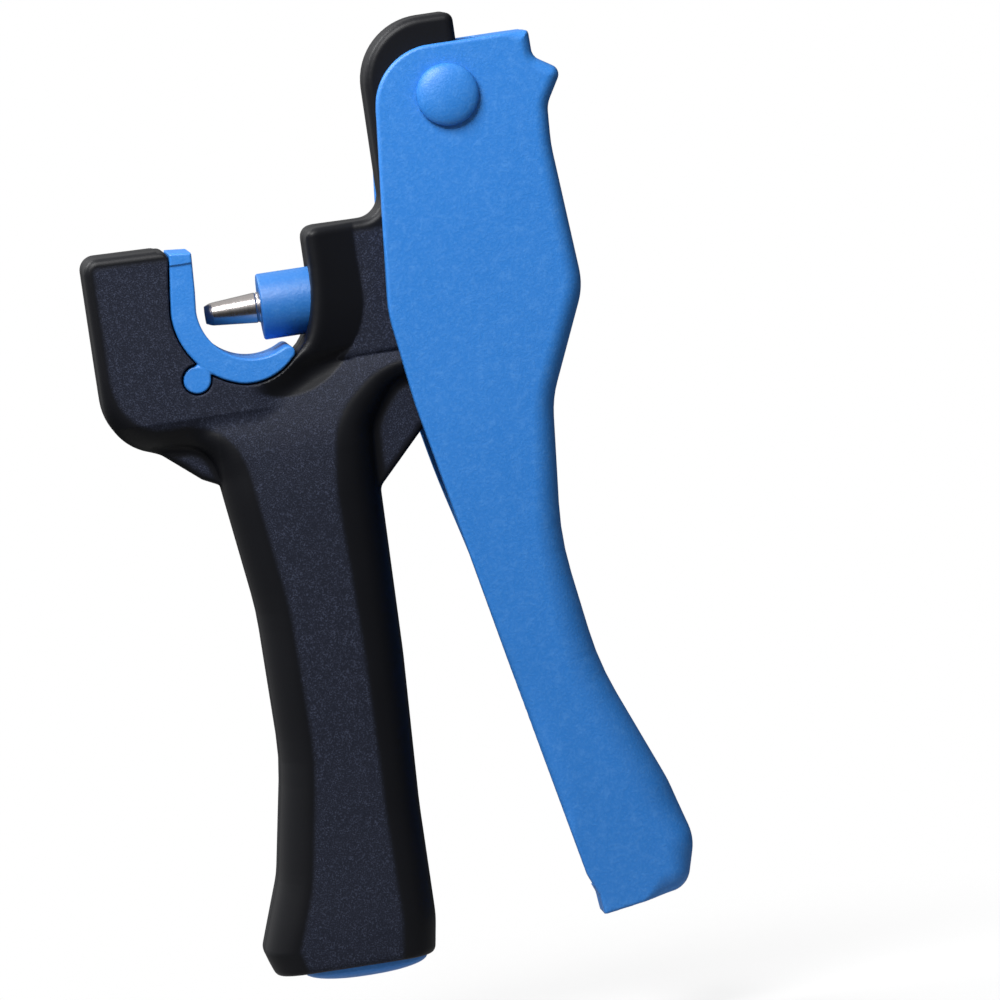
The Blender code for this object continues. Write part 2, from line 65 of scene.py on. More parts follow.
# Shared with the CAD solids.
MOUTH_TOP = -23.0
MOUTH_WALL_X = -32.2
MOUTH_CORNER = 2.2
MOUTH_X = -44.8
MOUTH_Z = -36.0
CRADLE_INNER = 11.0
CRADLE_OUTER = 16.1
CRADLE_TIP_OUTER = 13.7
# The leg above the arc leans towards the mouth: its outer and inner side, upwards.
CRADLE_LEG_OUTER = ((-60.5, -32.0), (-59.9, -27.0), (-59.5, -23.8))
CRADLE_LEG_INNER = ((-55.45, -32.0), (-55.2, -27.0), (-55.1, -24.2))
CRADLE_END_ANGLE = -61
CRADLE_TAPER_ANGLE = -105
CRADLE_HALF = 10.8
CRADLE_STEP = 0.35
KEY_X = -57.6
KEY_Z = -49.5
KEY_RADIUS = 2.8
SLIDE_Z = -37.5
PLUNGER_RADIUS = 6.65
PLUNGER_FRONT = -42.6
PLUNGER_BACK = -24.0
PLUNGER_SPIGOT = 7.0
SOCKET_RADIUS = 2.75
PUNCH_TIP = -53.7
PUNCH_HOLE_RADIUS = 1.2
PUNCH_EDGE_RADIUS = 1.75
PUNCH_BASE_RADIUS = 3.05
PUNCH_SHANK_RADIUS = 2.5
BODY_BACK = -4.0
BUTTON_FACE = 11.0
BUTTON_BACK = BUTTON_FACE - 3.0
BUTTON_RADIUS = 6.5
ROD_RADIUS = 4.0
ROD_SPIGOT_RADIUS = 2.4
SPRING_WIRE_RADIUS = 0.55
SPRING_COIL_RADIUS = 5.1
SPRING_TURNS = 6.0
AXLE_RADIUS = 3.0
AXLE_HALF = 11.5
PIVOT_CAP_RADIUS = 6.25
PIVOT_CAP_SIDE = 0.7
PIVOT_CAP_RISE = 2.0
BUTT_Z = -170.4
CAP_X = -41.0
CAP_LOWEST = -173.4
CAP_PLUG_TOP = -157.0
CAP_PLUG_HALF = (9.2, 7.6)
CAP_RIM_TOP = -166.8
CAP_RIM_HALF = (12.4, 10.8)
CAP_GAP = 0.25
OVAL_POWER = 2.4
# The handle's hollow is an oval that leans and narrows from its foot to its top: z, middle x and half width.
HOLLOW_FOOT = (-156, CAP_X, 9.5)
HOLLOW_TOP = (-94, -38.5, 8.5)
HOLLOW_HALF_Y = 7.9
SCREW_PLACES = (
    (-69.0, -38.0),
    (-62.5, -57.0),
    (-27.0, -28.2),
    (-32.0, -59.0),
    (-39.5, -84.0),
    (-6.0, -15.0),
)
SCREW_HEAD_TOP = 5.5
SCREW_HEAD_RADIUS = 2.8
SCREW_SHANK_RADIUS = 1.4
SCREW_WELL_RADIUS = 3.1
SCREW_WELL_FLOOR = 3.0

# Half thicknesses.
HEAD_HALF = 11.0
ARM_HALF = 8.0
WEB_HALF = 6.5
LEVER_OUTER_HALF = 11.2
LEVER_INNER_HALF = 8.5

# How far the mouth's rim is let down below the head, by the ramp and by the ledge under it.
RAMP_DEPTH = 3.05
LEDGE_DEPTH = 1.6

# The parting line's width, the gap round the cradle in its seat, and how far the seat opens at the faces.
SEAM = 0.12
SEAT_GAP = 0.05
SEAT_FLARE = 0.25

# How round the body's other edges are: at the butt, on the webs, and on the mouth's jaw side and wall side.
BUTT_ROUNDING = 1.6
WEB_ROUNDING = 0.8
MOUTH_ROUNDING = 0.4
WALL_ROUNDING = 3.1

# The bores along the slide: the plunger's from the mouth to its back, and the rod's beyond it.
PLUNGER_BORE = (-40.0, -9.4)
ROD_BORE_START = -12.0

# The grid's step under each net.
BODY_CELL = 0.45
LEVER_CELL = 0.45
CRADLE_CELL = 0.3

# Outlines: x, z and the radius of each corner.
BODY_OUTLINE = (
    (-76.9, MOUTH_TOP + 0.4, 3.0),
    (-60.0, MOUTH_TOP, 0.0),
    (-9.0, MOUTH_TOP, 0.0),
    (-9.0, -54.2, 2.0),
    (-18.5, -56.4, 7.0),
    (-23.9, -63.5, 8.0),
    (-24.6, -110.0, 60.0),
    (-25.9, -140.0, 60.0),
    (-26.0, -163.0, 20.0),
    (-27.1, -170.0, 4.0),
    (-27.1, -190.0, 0.0),
    (-59.5, -190.0, 0.0),
    (-59.5, -170.0, 4.0),
    (-60.9, -165.6, 3.0),
    (-55.9, -151.4, 20.0),
    (-51.8, -128.0, 50.0),
    (-52.1, -98.0, 60.0),
    (-55.8, -70.5, 10.0),
    (-57.6, -63.4, 5.5),
    (-76.9, -63.2, 11.6),
)
ARM_OUTLINE = (
    (-30.0, MOUTH_TOP, 0.0),
    (-15.8, MOUTH_TOP, 4.5),
    (-15.8, 15.5, 13.0),
    (3.6, 15.5, 1.8),
    (3.6, 7.0, 3.0),
    (7.0, 4.0, 3.0),
    (7.0, -8.0, 4.0),
    (BODY_BACK, -22.0, 4.0),
    (BODY_BACK, -49.6, 1.0),
    (-30.0, -50.6, 0.0),
)
RIGHT_WEB_OUTLINE = (
    (-30.0, -40.0, 0.0),
    (-6.0, -48.0, 0.0),
    (-6.0, -57.5, 2.0),
    (-24.6, -76.7, 1.0),
    (-30.0, -77.0, 0.0),
)
LEFT_WEB_OUTLINE = (
    (-66.0, -58.0, 0.0),
    (-68.6, -62.0, 1.0),
    (-59.4, -69.6, 2.0),
    (-52.0, -73.2, 0.0),
    (-50.0, -60.0, 0.0),
)
# The far edge of the smooth ramp that falls from the mouth's rim to the panel and the handle.
RAMP_OUTLINE = (
    (-80.0, MOUTH_TOP + 30, 0.0),
    (-22.6, MOUTH_TOP + 30, 0.0),
    (-21.9, -42.5, 16.0),
    (-30.0, -53.2, 16.0),
    (-40.5, -57.0, 14.0),
    (-49.0, -52.8, 8.0),
    (-80.0, -52.0, 0.0),
)
LEVER_OUTLINE = (
    (-13.4, 9.7, 12.3),
    (18.0, 9.7, 0.8),
    (18.1, 4.3, 2.6),
    (23.5, 0.9, 2.0),
    (19.7, -5.6, 6.0),
    (19.3, -13.5, 30.0),
    (21.6, -42.5, 14.0),
    (12.4, -64.0, 22.0),
    (10.0, -92.0, 60.0),
    (14.0, -118.0, 60.0),
    (24.4, -143.5, 25.0),
    (27.8, -155.6, 9.0),
    (24.9, -165.0, 5.0),
    (7.3, -167.8, 0.3),
    (6.9, -163.9, 2.0),
    (5.0, -159.4, 2.0),
    (-4.6, -113.5, 60.0),
    (-15.4, -60.5, 30.0),
    (-18.0, -42.0, 25.0),
    (-16.1, -20.0, 30.0),
)
# The same right side as the lever's, carried on past both ends.
SPINE_OUTLINE = (
    (-60.0, 40.0, 0.0),
    (20.5, 40.0, 0.0),
    (19.7, -5.6, 6.0),
    (19.3, -13.5, 30.0),
    (21.6, -42.5, 14.0),
    (12.4, -64.0, 22.0),
    (10.0, -92.0, 60.0),
    (14.0, -118.0, 60.0),
    (24.4, -143.5, 25.0),
    (27.8, -155.6, 9.0),
    (25.4, -163.5, 0.0),
    (25.4, -200.0, 0.0),
    (-60.0, -200.0, 0.0),
)
CHANNEL_OUTLINE = (
    (-40.0, 20.0, 0.0),
    (8.3, 20.0, 0.0),
    (8.3, 7.0, 0.0),
    (15.2, 7.0, 2.0),
    (16.2, -13.5, 20.0),
    (18.3, -42.0, 14.0),
    (9.0, -64.5, 25.0),
    (6.7, -92.0, 60.0),
    (10.9, -118.5, 60.0),
    (22.4, -148.0, 12.0),
    (24.0, -156.0, 5.0),
    (21.5, -162.0, 3.0),
    (-40.0, -162.6, 0.0),
)
CAM_PLACE = (19.3, -40.0)
CAM_RADIUS = 8.0
RIB_HEIGHTS = (-78.0, -100.0, -122.0, -144.0)
RIB_THICKNESS = 2.0
# The rear cheek is set in below the grip, and lacks the toe at the lever's foot: the cut passes through this
# point, facing this way down.
FAR_TOE = (5.4, -160.0)
FAR_TOE_ANGLE = math.radians(52)
FAR_CHEEK_INSET = 1.2

# By height: half thickness of the handle's face, and how round the long edges of the body and the lever are.
HANDLE_FACE = ((-172, 13.2), (-163, 13.6), (-153, 13.2), (-142, 12.8), (-128, 12.5), (-74, 12.5), (-64, 11.9))
HANDLE_FACE += ((-56, 9.8), (-49.6, 7.6), (-44, 4.0))
LEFT_ROUNDING = ((-170, 6.0), (-78, 5.5), (-66, 5.5), (-58, 4.5), (-53, 3.0), (-49, 1.6))
RIGHT_ROUNDING = ((-170, 6.5), (-133, 7.0), (-100, 8.0), (-75, 9.0), (-63, 7.5), (-56, 6.0))
RIGHT_ROUNDING += ((-52, 4.0), (-48, 1.6))
ARM_ROUNDING = 1.6
SPINE_ROUNDING = ((-168, 3.0), (-160, 5.0), (-148, 8.5), (-118, 7.5), (-80, 5.2), (-45, 4.0))
SPINE_ROUNDING += ((-24, 3.4), (0, 2.6))
CHEEK_ROUNDING = 0.6

# Studio and camera. Places of lights are in metres, and the camera aims at a point of the drawing.
AMBIENT_STRENGTH = 0.15
BRIGHT_SIDE = (-0.45, 0.0, 0.89)
REFLECTED_STRENGTHS = (0.05, 0.9)
LIGHTS_AIM = (0, 0, 0.15)
FLOOR_RADIUS = 0.22
FLOOR_DROP = 0.018
VIEW_TARGET = (-1.4, -11.0, -82.25)
VIEW_AZIMUTH = -4.2
VIEW_ELEVATION = 4.2
VIEW_ROLL = -8.4
VIEW_DISTANCE = 2000.0
PIXELS_PER_MM = 5.01
PICTURE_PIXELS = 1000


# --- Flat outlines --------------------------------------------------------------------------------


def arc(centre, radius, start, end, steps):
    """Points on a circle, from one angle in degrees to another."""
    angles = np.radians(np.linspace(start, end, steps + 1))
    return [(centre[0] + radius * math.cos(a), centre[1] + radius * math.sin(a)) for a in angles]


def rounded(corners, arc_step=math.radians(6)):
    """The outline through the corners, each one replaced by an arc of its radius."""
    points = []
    for index, (x, z, radius) in enumerate(corners):
        here = Vector((x, z))
        before = (Vector(corners[index - 1][:2]) - here).normalized()
        after = (Vector(corners[(index + 1) % len(corners)][:2]) - here).normalized()
        half_angle = before.angle(after) / 2
        if radius == 0 or half_angle > math.radians(89.9):
            points.append((x, z))
            continue
        centre = here + (before + after).normalized() * radius / math.sin(half_angle)
        first = here + before * radius / math.tan(half_angle) - centre
        last = here + after * radius / math.tan(half_angle) - centre
        turn = first.angle_signed(last)
        steps = max(1, math.ceil(abs(turn) / arc_step))
        for step in range(steps + 1):
            points.append(tuple(centre + Matrix.Rotation(-turn * step / steps, 2) @ first))
    return points


def cradle_back(gap):
    """The cradle's outer surface, from the top of its leg round to its tip, moved out by a gap."""
    centre = (MOUTH_X, MOUTH_Z)
    points = [(x - gap, z) for x, z in reversed(CRADLE_LEG_OUTER)]
    points += arc(centre, CRADLE_OUTER + gap, 180, 360 + CRADLE_TAPER_ANGLE, 20)
    steps = 12
    for step in range(1, steps + 1):
        share = step / steps
        radius = CRADLE_OUTER + (CRADLE_TIP_OUTER - CRADLE_OUTER) * share**1.5 + gap
        angle = math.radians(CRADLE_TAPER_ANGLE + (CRADLE_END_ANGLE - CRADLE_TAPER_ANGLE) * share)
        points.append((centre[0] + radius * math.cos(angle), centre[1] + radius * math.sin(angle)))
    return points


def mouth_outline():
    """The space of the mouth and the cradle's seat, with the jaw's corner rounded at its top."""
    seat_x = CRADLE_LEG_OUTER[-1][0] - SEAT_GAP
    jaw_corner = arc((seat_x - MOUTH_CORNER, MOUTH_TOP - MOUTH_CORNER), MOUTH_CORNER, 90, 0, 12)
    wall = [(-36.0, -46.1), (-35.1, -44.9), (-34.4, -43.5), (-33.8, -41.9), (-33.3, -40.0), (-32.8, -37.5)]
    wall += [(-32.4, -34.5), (MOUTH_WALL_X, -31.0), (MOUTH_WALL_X, 10.0), (seat_x - MOUTH_CORNER, 10.0)]
    return jaw_corner + cradle_back(SEAT_GAP)[1:] + wall


def cradle_tip():
    """The round end of the cradle's thin lip."""
    angle = math.radians(CRADLE_END_ANGLE)
    middle = (CRADLE_TIP_OUTER + CRADLE_INNER) / 2
    centre = (MOUTH_X + middle * math.cos(angle), MOUTH_Z + middle * math.sin(angle))
    return arc(centre, (CRADLE_TIP_OUTER - CRADLE_INNER) / 2, CRADLE_END_ANGLE, CRADLE_END_ANGLE + 180, 10)


def cradle_outline():
    inner = arc((MOUTH_X, MOUTH_Z), CRADLE_INNER, CRADLE_END_ANGLE, -180, 40)
    return cradle_back(0.0) + cradle_tip()[1:-1] + inner + list(CRADLE_LEG_INNER)


# --- Distance fields ------------------------------------------------------------------------------


def to_outline(x, z, outline):
    """Signed distance in the x-z plane to a closed outline, negative inside."""
    x, z = np.broadcast_arrays(x, z)
    nearest = np.full(x.shape, np.inf)
    inside = np.zeros(x.shape, bool)
    for (ax, az), (bx, bz) in zip(outline, outline[1:] + outline[:1]):
        along_x, along_z = bx - ax, bz - az
        length = along_x**2 + along_z**2
        if length == 0:
            continue
        share = np.clip(((x - ax) * along_x + (z - az) * along_z) / length, 0, 1)
        nearest = np.minimum(nearest, (x - ax - along_x * share) ** 2 + (z - az - along_z * share) ** 2)
        if along_z:
            inside ^= ((az > z) != (bz > z)) & (x < along_x * (z - az) / along_z + ax)
    return np.sqrt(nearest) * np.where(inside, -1, 1)


def plate(edge, face, radius):
    """A plate, from the distances to its outline and to its face, with the edge between them rounded."""
    edge = edge + radius
    face = face + radius
    return np.minimum(np.maximum(edge, face), 0) + np.hypot(np.maximum(edge, 0), np.maximum(face, 0)) - radius


def join(a, b, radius):
    """The union of two fields with a fillet between them."""
    share = np.clip(0.5 + 0.5 * (b - a) / radius, 0, 1)
    return b + (a - b) * share - radius * share * (1 - share)


def keep(a, b, radius):
    """What lies in both fields, with the edge between them rounded."""
    return -join(-a, -b, radius)


def cut(a, b, radius):
    """The first field without the second, with the edge of the cut rounded."""
    return keep(a, -b, radius)


def by_height(z, table):
    """A table's value at each height, with its kinks smoothed over a few millimetres."""
    heights, values = zip(*table)
    reach = np.linspace(-3, 3, 7)
    return sum(np.interp(z + offset, heights, values) for offset in reach) / len(reach)


def oval(x, y, centre, half_x, half_y):
    """Distance to an upright squared-off oval column."""
    size = np.abs((x - centre) / half_x) ** OVAL_POWER + np.abs(y / half_y) ** OVAL_POWER
    size = size ** (1 / OVAL_POWER)
    return (size - 1) * min(np.min(half_x), np.min(half_y))


BODY = rounded(BODY_OUTLINE)
ARM = rounded(ARM_OUTLINE)
RIGHT_WEB = rounded(RIGHT_WEB_OUTLINE)
LEFT_WEB = rounded(LEFT_WEB_OUTLINE)
RAMP = rounded(RAMP_OUTLINE)
MOUTH = mouth_outline()
LEVER = rounded(LEVER_OUTLINE)
SPINE = rounded(SPINE_OUTLINE)
CHANNEL = rounded(CHANNEL_OUTLINE)
CRADLE = cradle_outline()


def smooth(value, low, high):
    """0 below low, 1 above high, and a soft step between them."""
    share = np.clip((value - low) / (high - low), 0, 1)
    return share * share * (3 - 2 * share)


def side_rounding(x, z):
    """How round the body's long edge nearest to each point is."""
    left, right = by_height(z, LEFT_ROUNDING), by_height(z, RIGHT_ROUNDING)
    return left + (right - left) * smooth(x, -46, -34)


def body_face(x, z):
    """Half thickness of the body under its front face."""
    beyond_mouth = np.maximum(to_outline(x, z, MOUTH), 0)
    beyond_ramp = np.maximum(-to_outline(x, z, RAMP), 0)
    fall = beyond_mouth / np.maximum(beyond_mouth + beyond_ramp, 1e-6)
    depth = (RAMP_DEPTH + LEDGE_DEPTH * smooth(-z, 47, 50.5)) * smooth(x, -48, -34)
    head = HEAD_HALF - depth * fall - 0.5 * np.maximum(-57 - z, 0)
    narrowing = 0.3 * np.maximum(-55 - x, 0) * smooth(z, -82, -70)
    crown = 0.0022 * (x + 39.5) ** 2 * smooth(-z, 60, 72)
    return keep(head, by_height(z, HANDLE_FACE) - narrowing - crown, 1.5)


def shell_field(x, y, z):
    """Both shells together, as thick as |y|; the rear one, at +y, has the screw wells."""
    depth = np.abs(y)
    main = plate(to_outline(x, z, BODY), depth - body_face(x, z), side_rounding(x, z))
    main = keep(main, BUTT_Z - z, BUTT_ROUNDING)
    arm = plate(to_outline(x, z, ARM), depth - ARM_HALF, ARM_ROUNDING)
    solid = np.minimum(main, arm)
    for outline in (RIGHT_WEB, LEFT_WEB):
        web = plate(to_outline(x, z, outline), depth - WEB_HALF, WEB_ROUNDING)
        solid = join(solid, web, 1.0)
    at_wall = smooth(x, -40, -34)
    flare = SEAT_FLARE * smooth(depth, 8.0, 10.0)
    rim_rounding = MOUTH_ROUNDING + (WALL_ROUNDING - MOUTH_ROUNDING) * at_wall
    solid = cut(solid, to_outline(x, z, MOUTH) - flare * (1 - at_wall), rim_rounding)
    key_seat = np.hypot(x - KEY_X, z - KEY_Z) - KEY_RADIUS - SEAT_GAP - flare
    solid = cut(solid, key_seat, MOUTH_ROUNDING)
    from_slide = np.hypot(y, z - SLIDE_Z)
    start, end = PLUNGER_BORE
    beyond_bore = np.abs(x - (start + end) / 2) - (end - start) / 2
    solid = cut(solid, np.maximum(from_slide - PLUNGER_RADIUS - 0.2, beyond_bore), 0.5)
    solid = np.maximum(solid, -np.maximum(from_slide - ROD_RADIUS - 0.25, ROD_BORE_START - x))
    solid = np.maximum(solid, AXLE_RADIUS + 0.1 - np.hypot(x, z - AXLE_Z))
    rim = oval(x, y, CAP_X, CAP_RIM_HALF[0] + CAP_GAP, CAP_RIM_HALF[1] + CAP_GAP)
    solid = cut(solid, np.maximum(rim, z - CAP_RIM_TOP - 0.3), 0.5)
    heights, middles, halves = zip(HOLLOW_FOOT, HOLLOW_TOP)
    hollow = oval(x, y, np.interp(z, heights, middles), np.interp(z, heights, halves), HOLLOW_HALF_Y)
    solid = np.maximum(solid, -np.maximum(hollow, z - HOLLOW_TOP[0]))
    for place_x, place_z in SCREW_PLACES:
        well = np.hypot(x - place_x, z - place_z) - SCREW_WELL_RADIUS
        solid = cut(solid, np.maximum(well, SCREW_WELL_FLOOR - y), 0.5)
    return keep(solid, SEAM / 2 - depth, 0.5)


def shell_polish_and_shade(x, z):
    """0 on the grained flat faces, and 1 on the arm, the rounded edges and the ramp by the mouth, where the
    skin is plain and painted darker, partly for its smoother finish and partly as painted shade.
    """
    from_body = to_outline(x, z, BODY)
    inside_flat = -from_body - side_rounding(x, z)
    for outline in (RIGHT_WEB, LEFT_WEB):
        inside_flat = np.maximum(inside_flat, np.minimum(-to_outline(x, z, outline), from_body) - 0.8)
    ramp = smooth(-to_outline(x, z, RAMP), -0.5, 0.9) * smooth(x, -50, -42)
    return np.maximum(ramp, smooth(-inside_flat, -1.6, 0.6))


def front_field(x, y, z):
    """The half of the body in front of the parting plane."""
    return np.maximum(shell_field(x, y, z), y)


def rear_field(x, y, z):
    """The half of the body behind the parting plane."""
    return np.maximum(shell_field(x, y, z), -y)


def lever_field(x, y, z):
    """A channel open towards the handle, with ribs across it and a cam that pushes the thrust button."""
    depth = np.abs(y)
    outer = to_outline(x, z, LEVER)
    channel = to_outline(x, z, CHANNEL)
    from_spine = -to_outline(x, z, SPINE)
    full = by_height(z, SPINE_ROUNDING)
    rounding = CHEEK_ROUNDING + (full - CHEEK_ROUNDING) * (1 - smooth(from_spine, full, 3 * full))
    solid = plate(outer, depth - LEVER_OUTER_HALF, rounding)
    room = plate(channel, depth - LEVER_INNER_HALF, np.maximum(rounding - 2.7, 0.3))
    for height in RIB_HEIGHTS:
        open_side = -1.0 + 0.25 * max(0.0, -100.0 - height)
        rib = np.maximum(np.abs(z - height) - RIB_THICKNESS / 2, open_side - x)
        room = cut(room, rib, 0.6)
    cam = np.hypot(x - CAM_PLACE[0], z - CAM_PLACE[1]) - CAM_RADIUS
    room = cut(room, cam, 0.6)
    solid = cut(solid, room, 0.3)
    toe_x, toe_z = FAR_TOE
    below_toe = (toe_x - x) * math.cos(FAR_TOE_ANGLE) + (toe_z - z) * math.sin(FAR_TOE_ANGLE)
    solid = cut(solid, -np.minimum(below_toe, y), 0.5)
    far_edge = to_outline(x - FAR_CHEEK_INSET * smooth(-z, 70, 100), z, LEVER)
    solid = cut(solid, -np.minimum(far_edge, y), 0.3)
    return np.maximum(solid, AXLE_RADIUS + 0.15 - np.hypot(x, z - AXLE_Z))


def cradle_field(x, y, z):
    """The cradle with its key, and a small step just below the top of its leg."""
    flat = join(to_outline(x, z, CRADLE), np.hypot(x - KEY_X, z - KEY_Z) - KEY_RADIUS, 0.7)
    step = CRADLE_STEP * smooth(CRADLE_LEG_OUTER[-1][1] - z, 2.3, 2.7)
    return plate(flat, np.abs(y) - CRADLE_HALF + step, 0.5)


# --- From fields to meshes ------------------------------------------------------------------------


def axis_points(low, high, cell):
    """Grid lines from just below a range to just above it."""
    return np.arange(low - 1.5 * cell, high + 2.5 * cell, cell)


def net(values, axes):
    """One vertex in each cell that the surface crosses, and one quad for each grid edge it crosses."""
    inside = values < 0
    cells = tuple(size - 1 for size in values.shape)
    corners = [(i, j, k) for i in (0, 1) for j in (0, 1) for k in (0, 1)]
    count = np.zeros(cells, np.int8)
    for i, j, k in corners:
        count += inside[i : i + cells[0], j : j + cells[1], k : k + cells[2]]
    active = np.argwhere((count > 0) & (count < 8))
    number = np.full(cells, -1, np.int64)
    number[tuple(active.T)] = np.arange(len(active))

    total = np.zeros((len(active), 3))
    hits = np.zeros(len(active))
    for start in corners:
        for axis in range(3):
            if start[axis]:
                continue
            end = list(start)
            end[axis] = 1
            a = values[tuple((active + start).T)]
            b = values[tuple((active + end).T)]
            crossed = (a < 0) != (b < 0)
            share = np.where(crossed, a / np.where(crossed, a - b, 1), 0)
            place = np.array(start, float) + np.zeros((len(active), 3))
            place[:, axis] = share
            total += place * crossed[:, None]
            hits += crossed
    cell_size = np.array([points[1] - points[0] for points in axes])
    origin = np.array([points[0] for points in axes])
    vertices = origin + (active + total / hits[:, None]) * cell_size

    quads = []
    for axis in range(3):
        u, v = (axis + 1) % 3, (axis + 2) % 3
        here = [slice(1, -1)] * 3
        here[axis] = slice(0, -1)
        there = list(here)
        there[axis] = slice(1, None)
        a, b = inside[tuple(here)], inside[tuple(there)]
        for flips, crossed in ((False, a & ~b), (True, ~a & b)):
            found = np.argwhere(crossed)
            found[:, [u, v]] += 1
            ring = []
            for step_u, step_v in ((-1, -1), (0, -1), (0, 0), (-1, 0)):
                cell = found.copy()
                cell[:, u] += step_u
                cell[:, v] += step_v
                ring.append(number[tuple(cell.T)])
            quads.append(np.stack(ring[::-1] if flips else ring, axis=1))
    return vertices, np.concatenate(quads)


def slope(field, points, step=0.05):
    """The field's gradient at each point."""
    result = np.zeros_like(points)
    for axis in range(3):
        offset = np.zeros(3)
        offset[axis] = step
        ahead = field(*(points + offset).T)
        behind = field(*(points - offset).T)
        result[:, axis] = (ahead - behind) / (2 * step)
    return result


def on_surface(field, points, cell, rounds=2):
    """Points moved onto the field's zero surface."""
    for _ in range(rounds):
        gradient = slope(field, points)
        steepness = np.maximum((gradient**2).sum(1), 0.25)
        move = -gradient * (field(*points.T) / steepness)[:, None]
        reach = np.linalg.norm(move, axis=1)
        move *= (np.minimum(reach, 0.5 * cell) / np.maximum(reach, 1e-9))[:, None]
        points = points + move
    return points


def add_piece(name, mesh, material, body, replaced):
    """Places a mesh drawn in millimetres as a piece that replaces CAD nodes, and may ride on a body."""
    mesh.transform(Matrix.Translation(DRAWING_ZERO) @ Matrix.Scale(MM, 4))
    mesh.materials.append(material)
    piece = bpy.data.objects.new(name, mesh)
    bpy.context.scene.collection.objects.link(piece)
    if body:
        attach(piece, body)
    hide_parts(*replaced)
    return piece


def field_mesh(name, field, low, high, cell, kept_share, polish_and_shade=None):
    """A closed mesh of the field's surface inside a box, thinned where it is flat.

    The last argument gives how smooth the mould left the surface at each x and z, from 0 for grained to 1 for
    plain; where it is plain, the skin is also painted darker as shade.
    """
    axes = [axis_points(bottom, top, cell) for bottom, top in zip(low, high)]
    values = field(axes[0][:, None, None], axes[1][None, :, None], axes[2][None, None, :])
    vertices, quads = net(values, axes)
    vertices = on_surface(field, vertices, cell)
    mesh = bpy.data.meshes.new(name)
    mesh.from_pydata(vertices.tolist(), [], quads.tolist())
    borders = []
    if polish_and_shade:
        share = polish_and_shade(vertices[:, 0], vertices[:, 2])
        borders = np.flatnonzero((share > 0.01) & (share < 0.99)).tolist()
    mesh = thinned(mesh, kept_share, borders)
    points = np.empty(len(mesh.vertices) * 3)
    mesh.vertices.foreach_get("co", points)
    normals = slope(field, points.reshape(-1, 3))
    normals /= np.maximum(np.linalg.norm(normals, axis=1), 1e-9)[:, None]
    mesh.shade_smooth()
    mesh.normals_split_custom_set_from_vertices(normals.tolist())
    if polish_and_shade:
        x, _, z = points.reshape(-1, 3).T
        mesh.attributes.new("polish_and_shade", "FLOAT", "POINT").data.foreach_set("value", polish_and_shade(x, z))
    return mesh


def thinned(mesh, kept_share, borders):
    """The mesh with flat stretches collapsed into fewer faces, except along the grain's borders."""
    item = bpy.data.objects.new("thinned", mesh)
    bpy.context.scene.collection.objects.link(item)
    item.vertex_groups.new(name="borders").add(borders, 1.0, "REPLACE")
    modifier = item.modifiers.new("thin", "DECIMATE")
    modifier.ratio = kept_share
    modifier.vertex_group = "borders"
    modifier.invert_vertex_group = True
    bpy.context.view_layer.update()
    result = bpy.data.meshes.new_from_object(item.evaluated_get(bpy.context.evaluated_depsgraph_get()))
    bpy.data.objects.remove(item)
    return result


def lathe(profile, sides=96):
    """A profile of (along, radius) points turned about the x axis."""
    shape = bmesh.new()
    rings = []
    for along, radius in profile:
        if radius < 1e-6:
            rings.append([shape.verts.new((along, 0.0, 0.0))])
            continue
        angles = [2 * math.pi * side / sides for side in range(sides)]
        rings.append([shape.verts.new((along, radius * math.cos(a), radius * math.sin(a))) for a in angles])
    for first, second in zip(rings, rings[1:]):
        for side in range(sides):
            corners = [first[side % len(first)], first[(side + 1) % len(first)]]
            corners += [second[(side + 1) % len(second)], second[side % len(second)]]
            corners = list(dict.fromkeys(corners))
            if len(corners) > 2:
                shape.faces.new(corners)
    bmesh.ops.recalc_face_normals(shape, faces=shape.faces)
    return shape


def softened(profile, radius, steps=4):
    """A profile with its inner corners replaced by small arcs."""
    points = [profile[0]]
    for before, here, after in zip(profile, profile[1:], profile[2:]):
        here_v = Vector(here)
        to_before = Vector(before) - here_v
        to_after = Vector(after) - here_v
        reach = min(radius, to_before.length * 0.45, to_after.length * 0.45)
        start = here_v + to_before.normalized() * reach
        end = here_v + to_after.normalized() * reach
        for step in range(steps + 1):
            share = step / steps
            point = start.lerp(here_v, share).lerp(here_v.lerp(end, share), share)
            points.append(tuple(point))
    points.append(profile[-1])
    return points


def finished(shape, name, placing=Matrix.Identity(4), sharp=math.radians(35)):
    """A mesh from a bmesh, moved into place and shaded smooth up to an angle."""
    bmesh.ops.transform(shape, matrix=placing, verts=shape.verts)
    mesh = bpy.data.meshes.new(name)
    shape.to_mesh(mesh)
    shape.free()
    mesh.shade_smooth()
    mesh.set_sharp_from_angle(angle=sharp)
    return mesh


# --- Materials ------------------------------------------------------------------------------------


def add_node(tree, kind, settings=None, **inputs):
    """A shader node with its settings and inputs; an input is a number, a colour or another node's output."""
    item = tree.nodes.new(kind)
    for key, value in (settings or {}).items():
        setattr(item, key, value)
    for key, value in inputs.items():
        socket = item.inputs[int(key[1:])] if key[1:].isdigit() else item.inputs[key.replace("_", " ")]
        if isinstance(value, bpy.types.NodeSocket):
            tree.links.new(value, socket)
        else:
            socket.default_value = value
    return item


def new_material(name):
    material = bpy.data.materials.new(name)
    material.use_nodes = True
    tree = material.node_tree
    return material, tree, tree.nodes["Principled BSDF"]


def noise(tree, coordinates, size, detail, roughness):
    """Noise whose grains are about size metres wide."""
    inputs = {"Vector": coordinates, "Scale": 1 / size, "Detail": detail, "Roughness": roughness}
    return add_node(tree, "ShaderNodeTexNoise", **inputs).outputs["Fac"]


def stretch(tree, value, low, high, to_low, to_high):
    """A value carried softly from one range to another, and held at its ends."""
    settings = {"interpolation_type": "SMOOTHSTEP"}
    inputs = {"Value": value, "From_Min": low, "From_Max": high, "To_Min": to_low, "To_Max": to_high}
    return add_node(tree, "ShaderNodeMapRange", settings, **inputs).outputs["Result"]


